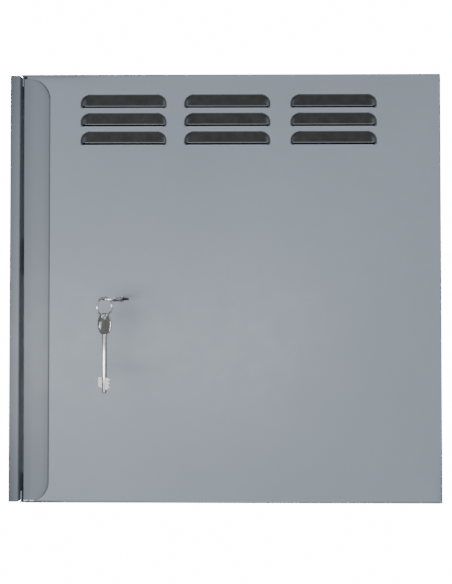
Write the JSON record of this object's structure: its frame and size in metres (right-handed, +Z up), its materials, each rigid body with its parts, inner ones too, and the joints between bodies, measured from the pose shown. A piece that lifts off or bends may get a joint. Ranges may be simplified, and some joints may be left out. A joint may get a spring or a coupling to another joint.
{
  "type": "wall enclosure",
  "caption": "Shallow folded-steel wall enclosure whose louvred door slides off sideways from a fixed left post, with a lever lock, its key and a spare key on a ring.",
  "frame": {"origin": "centre of the four wall holes, on the rear face of the back panel that lies on the wall", "axes": "+X to the right seen from the front, which is the way the door slides off; +Y into the wall, so the front faces -Y; +Z up"},
  "size_m": [0.6, 0.2763, 0.5982],
  "materials": {
    "paint": "semi-gloss grey powder coat, fine orange peel",
    "zinc": "zinc plated",
    "lock_steel": "plain rolled steel",
    "lever_brass": "stamped",
    "rubber": "matt",
    "nickel": "bright nickel plate"
  },
  "bodies": {
    "base": {"back_panel": "paint", "top_wall": "paint", "bottom_wall": "paint", "left_wall_with_post": "paint", "right_wall": "paint", "rack_bracket_left": "zinc", "rack_bracket_right": "zinc", "bracket_studs": "zinc", "bracket_washers": "zinc", "bracket_nuts": "zinc", "strike_bracket": "paint", "cable_grommets": "rubber", "earth_stud": "zinc", "earth_washer": "zinc", "earth_nut": "zinc"},
    "door": {"door_panel": "paint", "upper_hook_strip": "zinc", "lower_hook_strip": "zinc", "edge_tongues": "zinc", "door_stiffener": "zinc", "lock_cover_plate": "lock_steel", "lock_case": "lock_steel", "lock_studs": "zinc", "lock_nuts": "zinc", "lock_levers": "lever_brass", "lever_springs": "lock_steel", "lever_post": "lock_steel"},
    "bolts": {"bolt_carriage": "lock_steel"},
    "curtain": {"key_curtain": "lock_steel"},
    "key": {"key_in_lock": "nickel"},
    "ring": {"split_ring": "nickel"},
    "spare_key": {"hanging_key": "nickel"}
  },
  "joints": [
    {"name": "door_slide", "type": "slide", "parent": "base", "child": "door", "axis": [1, 0, 0], "range_m": [0, 0.6]},
    {"name": "bolt_slide", "type": "slide", "parent": "door", "child": "bolts", "axis": [0, 0, 1], "range_m": [0, 0.014]},
    {"name": "key_turn", "type": "hinge", "parent": "door", "child": "curtain", "pos_m": [-0.143, -0.19, -0.016], "axis": [0, -1, 0], "range_deg": [0, 360]},
    {"name": "key_pull", "type": "slide", "parent": "curtain", "child": "key", "axis": [0, -1, 0], "range_m": [0, 0.04]},
    {"name": "ring_spin", "type": "hinge", "parent": "key", "child": "ring", "pos_m": [-0.14649, -0.26569, -0.0247], "axis": [0.848, -0.5299, 0], "continuous": true},
    {"name": "spare_key_swing", "type": "hinge", "parent": "key", "child": "spare_key", "pos_m": [-0.14649, -0.26569, -0.0247], "axis": [0.848, -0.5299, 0], "range_deg": [-35, 35]}
  ],
  "couplings": [
    {"joint": "key_turn", "follows": "bolt_slide", "rad_per_m": 448.79}
  ]
}
